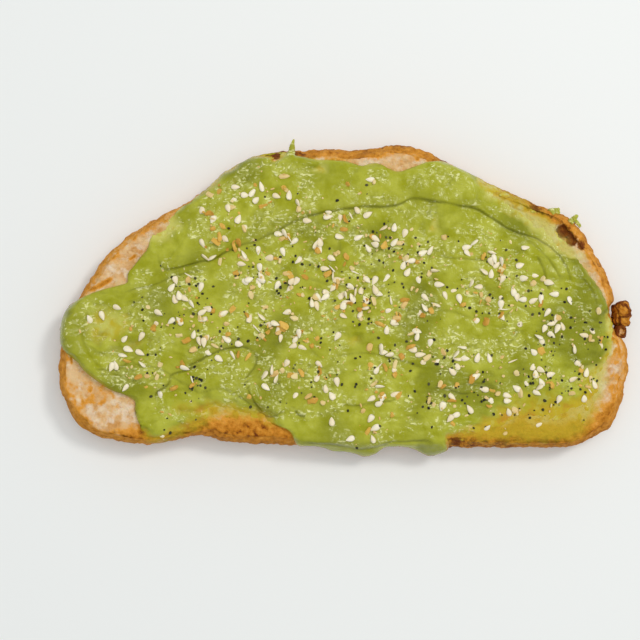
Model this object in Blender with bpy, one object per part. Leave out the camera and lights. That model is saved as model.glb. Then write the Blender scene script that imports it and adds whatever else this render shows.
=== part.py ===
"""Avocado toast: one slice of toasted country loaf with mashed avocado spread over its top.

The slice lies flat on its cut face. X runs along its length, Y from the loaf's flat base (-Y)
to its domed crown (+Y), and Z is up. Every size below is in millimetres, and the meshes are in
metres. Both solids are built on one set of spokes: a spoke at angle t leaves the middle towards
(SPOKE_X cos t, SPOKE_Y sin t), so that the spokes are spread evenly round the long slice.
"""

import bmesh
import bpy
import numpy as np

MM = 0.001

# Driving sizes
SLICE_THICKNESS = 14.0
SPREAD_THICKNESS = 2.3
SPREAD_GAP = 0.3
SPOKES = 180
SPOKE_X = 85.5
SPOKE_Y = 45.5

# The loaf's cross-section: flat base, rounded corners and a lopsided crown
SLICE_OUTLINE = (
    (-86, -22), (-84.5, -8), (-80.4, 0.4), (-71.2, 12.9), (-60, 22.5), (-46, 30.5),
    (-31.3, 40.8), (-22, 44), (-8, 44.8), (8, 44.7), (22, 44.5), (31, 41), (48.4, 32.8),
    (67.6, 23.8), (75, 14), (81, 2), (84.6, -12.8), (85.6, -20.2), (84, -27), (81, -35),
    (74, -42), (66, -44.3), (31, -44.5), (-13, -43.8), (-35, -42.8), (-42, -40.8),
    (-50, -42), (-60, -43.5), (-72, -41.5), (-80, -37), (-84.6, -30),
)

# Blisters and dips of the crust: spoke angle in degrees, height, half width along the edge
CRUST_BLISTERS = (
    (81, 1.9, 7), (94, 0.8, 5), (72, 0.7, 5), (34, 1.0, 6), (318, 1.0, 4), (326, 0.8, 4),
    (17, 0.7, 5), (152, 0.8, 5), (161, 0.7, 4), (223, 0.6, 5), (105, 0.5, 5),
)

# How far the crust stands in from its widest outline, at each share of the slice's thickness
CRUST_PROFILE = ((0.0, 1.7), (0.08, 0.6), (0.35, 0.0), (0.7, 0.4), (0.9, 1.3), (1.0, 3.0))

# Corners of the torn flap of crust at the right-hand end: footprint, and its lowest and highest
FLAP_FOOTPRINT = ((80.0, -0.4), (84.6, 0.2), (86.3, -4.6), (84.4, -7.8), (84.3, -10.2), (80.5, -11.4))
FLAP_HEIGHTS = (4.5, 12.0)

# The edge of the spread, from the left-hand lobe clockwise round the crown
SPREAD_OUTLINE = (
    (-84.8, -13.6), (-85.2, -8.2), (-83.8, -3.4), (-80.5, -0.6), (-74.9, 2.0), (-68.9, 3.8),
    (-65.2, 4.6), (-64.4, 8.2), (-61.7, 11.5), (-58.9, 15.0), (-57.2, 19.2), (-53.8, 22.6),
    (-50.0, 26.2), (-46.4, 29.2), (-41.4, 33.2), (-36.2, 38.0), (-29.2, 42.2), (-24.5, 43.2),
    (-18.4, 44.0), (-13.4, 42.6), (-7.4, 41.8), (0, 41.2), (5.0, 39.9), (9.6, 40.7),
    (14.8, 38.3), (17.5, 38.4), (22.0, 40.2), (27.2, 41.3), (33.6, 39.6), (40.0, 36.5),
    (48.2, 32.4), (57.1, 26.0), (64.9, 17.8), (73.0, 7.4), (77.9, -0.8), (80.2, -13.6),
    (77.9, -20.0), (77.8, -25.6), (75.2, -33.0), (70.8, -40.4), (64.6, -42.3), (46.7, -42.6),
    (35.2, -42.0), (31.6, -40.2), (31.0, -45.0), (25.0, -47.2), (19.8, -44.4), (12.4, -44.3),
    (9.8, -46.0), (7.2, -47.6), (1.0, -45.8), (-1.9, -46.2), (-7.3, -44.2), (-14.0, -43.6),
    (-16.0, -39.8), (-23.8, -36.5), (-36.7, -35.0), (-44.2, -38.2), (-49.4, -41.2),
    (-55.9, -43.2), (-59.6, -41.0), (-62.2, -33.8), (-63.2, -29.6), (-69.8, -26.8),
    (-76.4, -22.2), (-80.8, -17.6),
)

# Folds left by the knife: name, the line each follows, height and half width
KNIFE_FOLDS = (
    ("left_roll", ((-78, -2), (-81.5, -9), (-78, -16), (-70, -22.5), (-61, -27)), 1.6, 3.2),
    ("left_scrape", ((-72, -4), (-68, -12), (-56, -12)), -0.9, 7.0),
    ("lower_stroke", ((-58, -22), (-40, -15), (-26, -11)), 0.9, 3.5),
    ("hook", ((-24, -18), (-22, -26), (-12, -30), (-2, -28)), 0.9, 2.2),
    ("right_roll", ((64, 8), (72, 0), (77, -10), (76, -20)), 0.8, 3.0),
    ("base_lip", ((-12, -42), (2, -43), (12, -40.5), (24, -40.5), (29, -43)), 0.9, 2.0),
    ("corner_scrape", ((36, -34), (52, -36), (66, -33)), -1.5, 9.0),
    ("base_scrape", ((-46, -37), (-34, -32), (-22, -34)), -1.2, 4.0),
)
LEAST_THICKNESS = 0.7

# Where the rings of points on the spread's top lie, as shares of the way out to its edge
SPREAD_RINGS = (0.93, 0.87, 0.81, 0.74, 0.67, 0.6, 0.52, 0.43, 0.33, 0.2)

# The fold that runs along under the crown, and how high the band above it stands
CROWN_FOLD = ((-50, 8.7), (-34, 13.5), (-14, 24.0), (2, 26.5), (13, 28.0), (24, 30.0), (37, 26.8),
              (48, 24.2), (60, 18.2), (68, 11.4), (74, 4.2))
CROWN_BAND_HEIGHT = 1.2
CROWN_BAND_WIDTH = 11.0
CROWN_STEP_WIDTH = 2.4
CROWN_STEP_FADE = 6.0


def closed_curve(corners, steps=24):
    """Points along a smooth closed Catmull-Rom curve through the corners."""
    p = np.array(corners, float)
    before, after, later = np.roll(p, 1, 0), np.roll(p, -1, 0), np.roll(p, -2, 0)
    u = (np.arange(steps) / steps)[None, :, None]
    p, before, after, later = (q[:, None, :] for q in (p, before, after, later))
    curve = 0.5 * (
        2 * p
        + (after - before) * u
        + (2 * before - 5 * p + 4 * after - later) * u**2
        + (3 * p - before - 3 * after + later) * u**3
    )
    return curve.reshape(-1, 2)


def spoke_angles():
    return np.arange(SPOKES) * 2 * np.pi / SPOKES


def spoke_ends(outline):
    """The outline's radius along each spoke, as a share of the spoke's own ellipse."""
    x, y = closed_curve(outline).T
    angle = np.arctan2(y / SPOKE_Y, x / SPOKE_X) % (2 * np.pi)
    order = np.argsort(angle)
    share = np.hypot(x / SPOKE_X, y / SPOKE_Y)
    return np.interp(spoke_angles(), angle[order], share[order], period=2 * np.pi)


def edge_points(shares, inset=0.0):
    """Where each spoke ends, moved inwards along the spoke by inset."""
    t = spoke_angles()
    x, y = SPOKE_X * shares * np.cos(t), SPOKE_Y * shares * np.sin(t)
    reach = np.hypot(x, y)
    return np.stack([x, y], 1) * ((reach - inset) / reach)[:, None]


def blistered(shares):
    """The slice's outline with each blister added as a rounded bump."""
    points = edge_points(shares)
    reach = np.hypot(*points.T)
    for degrees, height, half_width in CRUST_BLISTERS:
        spoke = int(round(degrees / 360 * SPOKES)) % SPOKES
        away = np.hypot(*(points - points[spoke]).T)
        shares = shares + height * np.exp(-((away / half_width) ** 2)) * shares / reach
    return shares


def solid_from_rings(name, rings, bottom_pole, top_pole, material):
    """One closed solid: rings of points from the bottom to the top, closed by a fan at each end."""
    mesh = bmesh.new()
    loops = [[mesh.verts.new(np.array(point) * MM) for point in ring] for ring in rings]
    poles = [mesh.verts.new(np.array(point) * MM) for point in (bottom_pole, top_pole)]
    for i in range(SPOKES):
        j = (i + 1) % SPOKES
        for low, high in zip(loops, loops[1:]):
            mesh.faces.new((low[i], low[j], high[j], high[i]))
        mesh.faces.new((poles[0], loops[0][j], loops[0][i]))
        mesh.faces.new((poles[1], loops[-1][i], loops[-1][j]))
    data = bpy.data.meshes.new(name)
    mesh.to_mesh(data)
    mesh.free()
    data.shade_smooth()
    data.set_sharp_from_angle(angle=np.radians(50))
    data.materials.append(material)
    solid = bpy.data.objects.new(name, data)
    bpy.context.scene.collection.objects.link(solid)
    return solid


def at_height(points, height):
    """Points in the plane, given one height or one each."""
    return np.column_stack([points, np.broadcast_to(height, len(points))])


def crust_flap(material):
    """The torn flap of crust, a tapered chip that is joined to the slice."""
    low, high = FLAP_HEIGHTS
    middle = np.mean(FLAP_FOOTPRINT, axis=0)
    mesh = bmesh.new()
    for corner in np.array(FLAP_FOOTPRINT):
        narrowed = middle + (corner - middle) * 0.8
        mesh.verts.new((*corner * MM, low * MM))
        mesh.verts.new((*narrowed * MM, high * MM))
    bmesh.ops.convex_hull(mesh, input=mesh.verts)
    bmesh.ops.recalc_face_normals(mesh, faces=mesh.faces)
    data = bpy.data.meshes.new("crust_flap")
    mesh.to_mesh(data)
    mesh.free()
    data.materials.append(material)
    flap = bpy.data.objects.new("crust_flap", data)
    bpy.context.scene.collection.objects.link(flap)
    flap.hide_render = True
    flap.display_type = "WIRE"
    return flap


def bread_slice(shares, material):
    """The slice: a flat underside, the crust's rounded edge and a flat top, with the flap joined on."""
    rings = [at_height(edge_points(shares, CRUST_PROFILE[0][1]) * inner, 0.0) for inner in (0.5, 0.85)]
    for share, inset in CRUST_PROFILE:
        rings.append(at_height(edge_points(shares, inset), share * SLICE_THICKNESS))
    for inner in (0.85, 0.5):
        rings.append(at_height(edge_points(shares, CRUST_PROFILE[-1][1]) * inner, SLICE_THICKNESS))
    bread = solid_from_rings("bread_slice", rings, (0, 0, 0), (0, 0, SLICE_THICKNESS), material)
    join = bread.modifiers.new("flap", "BOOLEAN")
    join.operation = "UNION"
    join.object = crust_flap(material)
    return bread


def distance_to_line(points, line):
    """Each point's distance from a line of straight stretches."""
    nearest = np.full(len(points), np.inf)
    for start, end in zip(np.array(line[:-1], float), np.array(line[1:], float)):
        along = np.clip((points - start) @ (end - start) / ((end - start) @ (end - start)), 0, 1)
        nearest = np.minimum(nearest, np.hypot(*(points - start - along[:, None] * (end - start)).T))
    return nearest


def spread_thickness(points, from_edge):
    """How thick the avocado is: rounded off at its edge, with the knife's folds and scrapes."""
    rounding = np.clip(from_edge / 3.0, 0, 1)
    thickness = SPREAD_THICKNESS * np.sqrt(1 - (1 - rounding) ** 2)
    for _name, line, height, half_width in KNIFE_FOLDS:
        thickness += height * rounding * np.exp(-((distance_to_line(points, line) / half_width) ** 2))
    above = points[:, 1] - np.interp(points[:, 0], *np.array(CROWN_FOLD).T)
    step = np.clip(above / CROWN_STEP_WIDTH + 0.5, 0, 1)
    from_left, from_right = points[:, 0] - CROWN_FOLD[0][0], CROWN_FOLD[-1][0] - points[:, 0]
    fade = np.clip(np.minimum(from_left, from_right) / CROWN_STEP_FADE, 0, 1)
    thickness += CROWN_BAND_HEIGHT * rounding * step * fade * np.exp(-((above / CROWN_BAND_WIDTH) ** 2))
    return np.maximum(thickness, LEAST_THICKNESS)


def avocado_spread(slice_shares, shares, material):
    """The spread: an even underside that hangs over the crust where a lobe passes it, and a folded top."""
    base = SLICE_THICKNESS + SPREAD_GAP
    reach = np.hypot(*edge_points(shares).T)
    overhang = np.clip(reach - np.hypot(*edge_points(slice_shares).T) + 0.6, 0, 3)
    droop = 1.6 * overhang
    rings = []
    for inset, follows in ((14.0, 0.0), (5.0, 0.0), (1.6, 0.15), (0.3, 0.9)):
        rings.append(at_height(edge_points(shares, inset), base - follows * droop))
    for inset, follows in ((0.0, 0.8), (0.5, 0.45), (1.4, 0.2), (3.0, 0.0)):
        points = edge_points(shares, inset)
        thickness = spread_thickness(points, np.full(SPOKES, inset + 0.4))
        rings.append(at_height(points, base - follows * droop + thickness))
    for inner in SPREAD_RINGS:
        points = edge_points(shares, 3.0) * inner
        thickness = spread_thickness(points, np.full(SPOKES, 5.0))
        rings.append(at_height(points, base + thickness))
    return solid_from_rings(
        "avocado_spread", rings, (0, 0, base), (0, 0, base + SPREAD_THICKNESS), material
    )


def food_material(name, colour, roughness):
    """A plain Principled material of that colour, not metallic."""
    material = bpy.data.materials.new(name)
    material.use_nodes = True
    shader = material.node_tree.nodes["Principled BSDF"]
    shader.inputs["Base Color"].default_value = (*colour, 1.0)
    shader.inputs["Roughness"].default_value = roughness
    shader.inputs["Metallic"].default_value = 0.0
    return material


def centre_on_origin(solids):
    """Puts the middle of all the solids' common box on the Z axis."""
    graph = bpy.context.evaluated_depsgraph_get()
    corners = np.array([corner for solid in solids for corner in solid.evaluated_get(graph).bound_box])
    middle = (corners.min(0) + corners.max(0)) / 2
    for thing in bpy.context.scene.collection.objects:
        thing.location = (-middle[0], -middle[1], 0.0)


def main():
    for thing in list(bpy.data.objects):
        bpy.data.objects.remove(thing)
    crust = food_material("toasted_crust", (0.66, 0.33, 0.11), 0.7)
    mash = food_material("mashed_avocado", (0.35, 0.42, 0.05), 0.4)
    slice_shares = blistered(spoke_ends(SLICE_OUTLINE))
    bread = bread_slice(slice_shares, crust)
    spread = avocado_spread(slice_shares, spoke_ends(SPREAD_OUTLINE), mash)
    bpy.context.view_layer.update()
    centre_on_origin([bread, spread])


main()
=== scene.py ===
"""Avocado toast: how the slice, its spread and its toppings look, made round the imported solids.

Places and sizes are in millimetres unless a property gives its own unit, with X along the slice,
Y from the loaf's flat base (-Y) to its domed crown (+Y) and Z up; the meshes are in metres.
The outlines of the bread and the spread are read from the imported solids, which are built on
spokes that all start at one middle point.
"""

import itertools

import bpy
import numpy as np
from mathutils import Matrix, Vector


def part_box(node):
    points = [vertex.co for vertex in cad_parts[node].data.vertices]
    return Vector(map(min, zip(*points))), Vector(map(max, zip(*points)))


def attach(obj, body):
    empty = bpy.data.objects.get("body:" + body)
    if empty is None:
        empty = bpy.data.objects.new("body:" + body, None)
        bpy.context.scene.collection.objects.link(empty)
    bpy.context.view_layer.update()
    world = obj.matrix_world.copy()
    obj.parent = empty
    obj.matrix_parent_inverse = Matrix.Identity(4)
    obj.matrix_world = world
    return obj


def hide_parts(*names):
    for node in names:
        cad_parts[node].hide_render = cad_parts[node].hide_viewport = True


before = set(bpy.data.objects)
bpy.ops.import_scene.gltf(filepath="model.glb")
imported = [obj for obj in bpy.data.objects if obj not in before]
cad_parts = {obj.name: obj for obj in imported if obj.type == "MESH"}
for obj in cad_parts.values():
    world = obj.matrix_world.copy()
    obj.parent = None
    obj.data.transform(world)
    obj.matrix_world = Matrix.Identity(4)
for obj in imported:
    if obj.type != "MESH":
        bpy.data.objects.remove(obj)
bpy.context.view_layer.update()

bl_info = {
    "name": "Avocado Toast",
    "version": (1, 0, 0),
    "blender": (4, 5, 0),
    "location": "3D View > Sidebar > Toast",
    "description": "Builds a slice of toast with mashed avocado, seeds, garlic and onion",
    "category": "Object",
}

MM = 0.001
BODY = "root"
BREAD, SPREAD = "bread_slice", "avocado_spread"

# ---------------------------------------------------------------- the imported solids' outlines

SPOKES = 180
SPOKE_X, SPOKE_Y = 85.5, 45.5       # the ellipse that the spokes' directions are read on
MIDDLE = (-0.1497, 0.4182)          # where the spokes start
BASE_INSET = 1.7                    # how far the slice's underside stands in from its widest line
TOP_INSET = 3.0                     # and its top face
WIDEST_SHARE = 0.35                 # the height of the widest line, as a share of the thickness


def node_points(name):
    """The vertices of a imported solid, in millimetres."""
    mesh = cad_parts[name].data
    flat = np.zeros(len(mesh.vertices) * 3, np.float32)
    mesh.vertices.foreach_get("co", flat)
    return flat.reshape(-1, 3).astype(float) / MM


SLICE_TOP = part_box(BREAD)[1].z / MM


def spoke_place(x, y):
    """A place's spoke angle, and its distance out as a share of the spokes' own ellipse."""
    u, v = (x - MIDDLE[0]) / SPOKE_X, (y - MIDDLE[1]) / SPOKE_Y
    return np.arctan2(v, u), np.hypot(u, v)


def spoke_point(angle, share):
    """The place at that share of the ellipse's radius along a spoke."""
    x = MIDDLE[0] + SPOKE_X * share * np.cos(angle)
    y = MIDDLE[1] + SPOKE_Y * share * np.sin(angle)
    return x, y


def widest_shares(points):
    """The largest share that any of the points reaches, for each spoke."""
    angle, share = spoke_place(points[:, 0], points[:, 1])
    spoke = np.round(angle / (2 * np.pi) * SPOKES).astype(int) % SPOKES
    shares = np.zeros(SPOKES)
    np.maximum.at(shares, spoke, share)
    return shares


def moved_out(shares, distance):
    """The same outline with every spoke's end moved outwards by that distance."""
    angle = np.arange(SPOKES) * 2 * np.pi / SPOKES
    reach = np.hypot(SPOKE_X * shares * np.cos(angle), SPOKE_Y * shares * np.sin(angle))
    return shares * (1 + distance / reach)


def share_at(shares, angle):
    """The outline's share at any angle: a Catmull-Rom curve through the spokes' own shares."""
    place = (angle / (2 * np.pi) * SPOKES) % SPOKES
    low = np.floor(place).astype(int)
    u = place - low
    before, here, after, later = (shares[(low + step) % SPOKES] for step in (-1, 0, 1, 2))
    return 0.5 * (
        2 * here
        + (after - before) * u
        + (2 * before - 5 * here + 4 * after - later) * u**2
        + (3 * here - before - 3 * after + later) * u**3
    )


UNDERSIDE = node_points(BREAD)
BREAD_SHARES = moved_out(widest_shares(UNDERSIDE[UNDERSIDE[:, 2] < 0.001]), BASE_INSET)
SPREAD_SHARES = widest_shares(node_points(SPREAD))

# ---------------------------------------------------------------- noise, lines and meshes


def noise(points, cell, seed):
    """Gradient noise from about -1 to 1: random slopes at lattice corners a cell apart, blended
    by the quintic 6t^5 - 15t^4 + 10t^3."""
    rng = np.random.default_rng(seed)
    slopes = rng.normal(size=(256, 3))
    slopes /= np.linalg.norm(slopes, axis=1, keepdims=True)
    place = points / np.asarray(cell, float)
    base = np.floor(place).astype(np.int64)
    part = place - base
    blend = part**3 * (part * (part * 6 - 15) + 10)
    total = np.zeros(len(points))
    for corner in itertools.product((0, 1), repeat=3):
        step = np.array(corner)
        slope = slopes[scrambled(base + step)]
        weight = np.where(step, blend, 1 - blend).prod(1)
        total += weight * ((part - step) * slope).sum(1)
    return total * 1.7


def scrambled(cells):
    """A number from 0 to 255 for each whole-numbered lattice cell."""
    x, y, z = cells.T
    mixed = (x * 73856093) ^ (y * 19349663) ^ (z * 83492791)
    mixed = (mixed ^ (mixed >> 13)) * 1274126177
    return (mixed ^ (mixed >> 16)) & 255


def on_plane(x, y):
    """Points at those places with no height, for noise that is the same all the way up."""
    return np.stack([x, y, np.zeros(x.shape)], 1)


def pits(points, cell, small, large, seed, layers=(-1, 0, 1)):
    """How far inside the nearest pit each point is: 1 at a pit's middle, 0 at its edge and beyond.
    One pit of random place and radius lies in each lattice cell."""
    rng = np.random.default_rng(seed)
    offsets, radii = rng.uniform(0, 1, (256, 3)), rng.uniform(small, large, 256)
    base = np.floor(points / cell).astype(np.int64)
    deepest = np.zeros(len(points))
    for step in itertools.product((-1, 0, 1), (-1, 0, 1), layers):
        cells = base + np.array(step)
        key = scrambled(cells)
        away = np.linalg.norm((cells + offsets[key]) * cell - points, axis=1)
        deepest = np.maximum(deepest, 1 - away / radii[key])
    return np.clip(deepest, 0, 1)


def smoothed(low, high, value):
    """0 below low, 1 above high, and the curve 3t^2 - 2t^3 between them."""
    t = np.clip((value - low) / (high - low), 0, 1)
    return t * t * (3 - 2 * t)


def smooth_line(corners, steps=6):
    """Points along a Catmull-Rom curve through the corners, from the first to the last."""
    p = np.array(corners, float)
    p = np.vstack([2 * p[0] - p[1], p, 2 * p[-1] - p[-2]])
    u = np.linspace(0, 1, steps, endpoint=False)[None, :, None]
    before, here, after, later = (p[i:len(p) - 3 + i, None, :] for i in range(4))
    curve = 0.5 * (
        2 * here
        + (after - before) * u
        + (2 * before - 5 * here + 4 * after - later) * u**2
        + (3 * here - before - 3 * after + later) * u**3
    )
    return np.vstack([curve.reshape(-1, p.shape[1]), p[-2]])


def beside_line(x, y, line):
    """Each place's distance from a line, its side (+1 left of the way the line runs, -1 right)
    and how far along the line its nearest point is, from 0 to 1."""
    nearest = np.full(x.shape, np.inf)
    side, along = np.zeros(x.shape), np.zeros(x.shape)
    lengths = np.hypot(*np.diff(line, axis=0).T)
    starts = np.concatenate([[0], np.cumsum(lengths)])
    for (ax, ay), (bx, by), length, start in zip(line[:-1], line[1:], lengths, starts):
        ux, uy = (bx - ax) / length, (by - ay) / length
        t = np.clip((x - ax) * ux + (y - ay) * uy, 0, length)
        dx, dy = x - ax - t * ux, y - ay - t * uy
        away = np.hypot(dx, dy)
        nearer = away < nearest
        nearest = np.where(nearer, away, nearest)
        side = np.where(nearer, np.sign(ux * dy - uy * dx), side)
        along = np.where(nearer, start + t, along)
    return nearest, side, along / starts[-1]


def inside_outline(x, y, shares):
    """Distance from an outline, above zero inside it."""
    ring = np.arange(2 * SPOKES + 1) * np.pi / SPOKES
    outline = np.stack(spoke_point(ring, share_at(shares, ring)), 1)
    away, _side, _along = beside_line(x, y, outline)
    angle, share = spoke_place(x, y)
    return np.where(share < share_at(shares, angle), away, -away)


def disc_grid(columns, rows):
    """A square grid pressed into a round disc: (u, v) goes to (u sqrt(1 - v^2/2), v sqrt(1 - u^2/2)).
    Gives each vertex's angle and radius, the faces, and the rim's vertices anticlockwise."""
    v, u = np.meshgrid(np.linspace(-1, 1, rows + 1), np.linspace(-1, 1, columns + 1), indexing="ij")
    x, y = (u * np.sqrt(1 - v * v / 2)).ravel(), (v * np.sqrt(1 - u * u / 2)).ravel()
    number = np.arange(len(x)).reshape(rows + 1, columns + 1)
    faces = np.stack([number[:-1, :-1], number[:-1, 1:], number[1:, 1:], number[1:, :-1]], -1)
    rim = np.concatenate([number[0, :-1], number[:-1, -1], number[-1, :0:-1], number[:0:-1, 0]])
    return np.arctan2(y, x), np.hypot(x, y), faces.reshape(-1, 4), rim


def between_rings(rings):
    """The faces between each ring of vertices and the next; each ring holds vertex numbers."""
    rings = np.asarray(rings)
    low, high = rings[:-1], rings[1:]
    faces = np.stack([low, np.roll(low, -1, 1), np.roll(high, -1, 1), high], -1)
    return faces.reshape(-1, 4)


def vertex_normals(points, faces):
    """Each vertex's outward direction: the sum of its faces' cross products, made one long."""
    a, b, c, d = (points[faces[:, i]] for i in range(4))
    face = np.cross(c - a, d - b)
    total = np.zeros_like(points)
    for corner in range(4):
        np.add.at(total, faces[:, corner], face)
    return total / np.linalg.norm(total, axis=1, keepdims=True)


def mesh_piece(name, points, faces, material, replaced=(), values=None, smooth=True):
    """A mesh object of points in millimetres, finished as a piece that rides on the toast."""
    mesh = bpy.data.meshes.new(name)
    mesh.from_pydata((points * MM).tolist(), [], faces)
    for key, value in (values or {}).items():
        mesh.attributes.new(key, "FLOAT", "POINT").data.foreach_set("value", value.astype(np.float32))
    mesh.polygons.foreach_set("use_smooth", np.full(len(mesh.polygons), smooth))
    mesh.materials.append(material)
    piece = bpy.data.objects.new(name, mesh)
    bpy.context.scene.collection.objects.link(piece)
    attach(piece, BODY)
    if replaced:
        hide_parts(*replaced)


# ---------------------------------------------------------------- how the avocado lies

# Folds left by the knife: the line each follows, with its raised side on the left; its height; how
# far it falls away on the raised side and on the other; and how deep the crease at its foot is, which
# also sets how dark the shade painted in the crease and along the raised side is.
FOLDS = (
    (((-54.9, 16.5), (-55.2, 13.2), (-54.3, 10.2), (-52.2, 9.6), (-45.6, 11.4), (-39.6, 12.6),
      (-32.4, 16.2), (-22.8, 19.8), (-13.5, 24.6), (-5.7, 26.7), (3.9, 28.2), (14.1, 28.5),
      (20.4, 30.6), (30.0, 29.4), (40.2, 27.0), (48.6, 21.6), (57.6, 18.6), (62.4, 15.3),
      (65.4, 11.1), (67.2, 7.0), (68.0, 3.0)), 1.0, 4.5, 0.4, 0.45),
    (((66.0, 11.4), (70.8, 9.9), (74.1, 7.2), (76.2, 3.3), (77.7, -1.5)), -0.5, 1.2, 3.0, 0.25),
    (((-73.8, -15.9), (-69.0, -16.5), (-64.2, -13.5), (-59.4, -12.0), (-54.0, -10.8)),
     -0.7, 0.8, 4.0, 0.3),
    (((-47.7, -19.5), (-43.2, -17.1), (-40.2, -15.6), (-36.9, -14.1), (-32.7, -13.2),
      (-28.8, -13.5), (-26.1, -14.7)), 0.8, 4.0, 0.45, 0.55),
    (((-56.7, -30.0), (-56.4, -27.3), (-54.3, -25.8), (-52.5, -24.0), (-51.9, -21.9),
      (-47.7, -20.4), (-43.2, -18.6)), 0.9, 3.0, 0.4, 0.4),
    (((-30.0, -21.6), (-29.1, -25.2), (-27.6, -28.2), (-25.2, -30.6), (-21.3, -32.1),
      (-15.9, -31.2), (-12.6, -29.1), (-10.2, -27.0)), 0.75, 1.1, 1.1, 0.0),
    (((-26.4, -31.5), (-24.0, -33.9), (-20.7, -33.6), (-18.3, -32.4)), 0.5, 2.5, 0.4, 0.35),
    (((-14.7, -32.1), (-13.5, -33.6), (-11.7, -34.2)), 0.5, 2.5, 0.4, 0.5),
    (((-14.1, -41.7), (-7.8, -41.7), (-1.2, -42.6), (5.4, -43.9), (10.5, -42.3), (15.3, -41.1),
      (20.1, -41.2), (23.7, -41.1), (27.3, -42.9)), 0.7, 2.5, 0.5, 0.4),
    (((-1.5, -30.6), (6.0, -30.3), (9.3, -29.7), (13.2, -29.1), (15.9, -28.2)), 0.45, 5.0, 0.5, 0.25),
    (((51.3, -9.0), (53.4, -10.8), (53.1, -12.3), (50.4, -15.0), (48.3, -15.9)), -0.4, 0.5, 3.0, 0.3),
    (((66.3, 5.7), (65.7, 8.4), (65.1, 11.1)), 0.4, 2.0, 0.4, 0.4),
    (((28.5, -25.5), (33.0, -26.7), (37.5, -27.3)), 0.4, 2.5, 0.4, 0.3),
    (((-65.5, -23.5), (-71.0, -21.7), (-75.5, -17.5), (-78.2, -13.0), (-78.8, -8.0), (-77.3, -2.0)),
     0.8, 3.2, 0.9, 0.18),
    (((-66.0, -18.5), (-60.0, -19.0), (-54.0, -20.0), (-50.0, -22.5)), 0.35, 2.5, 0.5, 0.2),
    (((-27.6, -13.9), (-25.9, -16.5), (-26.6, -20.0), (-28.6, -23.5), (-27.0, -29.0), (-23.5, -34.0)),
     0.5, 2.0, 0.45, 0.4),
    (((57.2, 13.8), (59.6, 8.2), (60.9, 3.0)), 0.4, 1.6, 0.45, 0.3),
    (((52.0, 20.6), (57.5, 16.0), (62.0, 11.0), (64.5, 6.0)), 0.35, 1.6, 0.5, 0.2),
    (((-66.0, 3.0), (-58.0, 5.0), (-50.0, 8.0), (-40.0, 10.0)), 0.35, 2.4, 0.5, 0.25),
    (((26.0, 14.0), (33.0, 13.0), (42.0, 12.4), (50.0, 9.5)), 0.3, 2.0, 0.45, 0.2),
    (((-4.0, -16.0), (6.0, -15.0), (16.0, -17.0), (24.0, -20.0)), 0.3, 2.4, 0.45, 0.2),
    (((-60.0, -24.0), (-54.0, -22.0), (-48.0, -24.0), (-42.0, -27.5)), 0.35, 1.8, 0.45, 0.25),
    (((-44.0, -27.0), (-38.0, -25.5), (-32.0, -27.5), (-27.0, -31.0)), 0.45, 3.0, 0.5, 0.25),
    (((14.0, -3.0), (22.0, -2.0), (31.0, -2.6), (39.0, -5.0)), 0.3, 3.0, 0.5, 0.15),
    (((-12.0, 7.5), (-3.0, 5.0), (8.0, 4.5), (16.0, 6.0)), 0.3, 3.0, 0.5, 0.15),
)

# Rolls pushed up at an edge: the line of the crest, height and half width
ROLLS = (
    (((-80.1, -0.3), (-82.2, -3.3), (-82.8, -7.2), (-81.9, -11.7), (-79.5, -15.6), (-75.9, -19.2),
      (-72.0, -22.2), (-67.8, -24.6)), 1.3, 2.6),
    (((-64.5, -16.0), (-56.0, -15.5), (-47.0, -13.5), (-38.0, -10.5)), 0.8, 3.2),
    (((-63.5, 6.0), (-59.5, 10.5), (-56.8, 16.0)), 0.5, 2.5),
    (((72.5, 4.0), (76.0, -4.0), (77.0, -12.0), (75.5, -19.0)), 0.7, 2.5),
)

# Scraped places: middle, half length, half width, turn in degrees and depth
SCRAPES = (
    (-69.9, -6.8, 9.5, 7.0, -10, 1.7), (-6.9, 38.7, 4.0, 2.5, 0, 2.1), (-53.4, 21.4, 7.0, 3.2, 42, 1.9),
    (1.5, -12.0, 5.0, 2.5, 0, 1.3), (27.3, 21.8, 2.6, 4.2, -15, 1.75), (-36.9, -32.9, 9.0, 3.2, -6, 1.7),
    (60.0, -34.0, 20.0, 9.0, 0, 2.0), (45.0, -13.2, 3.0, 3.0, 0, 0.9), (52.0, -38.5, 16.0, 3.0, 0, 1.5),
    (-22.0, 45.2, 5.2, 2.4, 12, 6.0),
    (-51.0, -30.0, 8.0, 5.0, 0, 1.1), (-60.0, 8.0, 6.0, 3.5, 30, 0.9), (-33.0, 36.0, 8.0, 2.5, 30, 0.9),
    (-52.5, 20.0, 4.0, 6.0, 0, 0.7), (61.0, 21.5, 13.0, 4.6, -42, 1.75), (44.0, -38.0, 6.0, 3.0, 10, 0.8),
    (54.0, 31.5, 6.0, 1.5, -27, 4.6), (62.5, 26.5, 4.5, 1.5, -33, 4.6),
)

# Where the spread thins out to nothing instead of ending in a lip: spoke angles in degrees from
# where to where, and over what width
SOFT_EDGES = (
    (20, 57, 10.0), (-26, -7, 4.5), (-56, -26, 11.0), (-68, -56, 5.0), (112, 128, 3.0), (78, 100, 2.0),
    (-128, -108, 5.5),
)
LIP_WIDTH = 1.7


def softness(angle):
    """The width over which the spread's edge thins out, at each spoke angle."""
    degrees = np.degrees(angle)
    width = np.full(angle.shape, LIP_WIDTH)
    for start, end, wide in SOFT_EDGES:
        within = smoothed(start - 4, start + 4, degrees) * smoothed(-end - 4, -end + 4, -degrees)
        width = np.maximum(width, LIP_WIDTH + (wide - LIP_WIDTH) * within)
    return width


def bread_relief(points):
    """How far the crumb's broad unevenness lifts the slice's top face."""
    return 0.25 * noise(points, 11.0, 3)


def over_the_rim(inside):
    """How far the spread sinks where it runs over the crust: 0.29 (3 - d)^2 at d inside the
    slice's outline, and steadily on beyond it."""
    near = np.clip(TOP_INSET - inside, 0, TOP_INSET)
    return 0.29 * near**2 + 1.3 * np.clip(-inside, 0, None)


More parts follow.
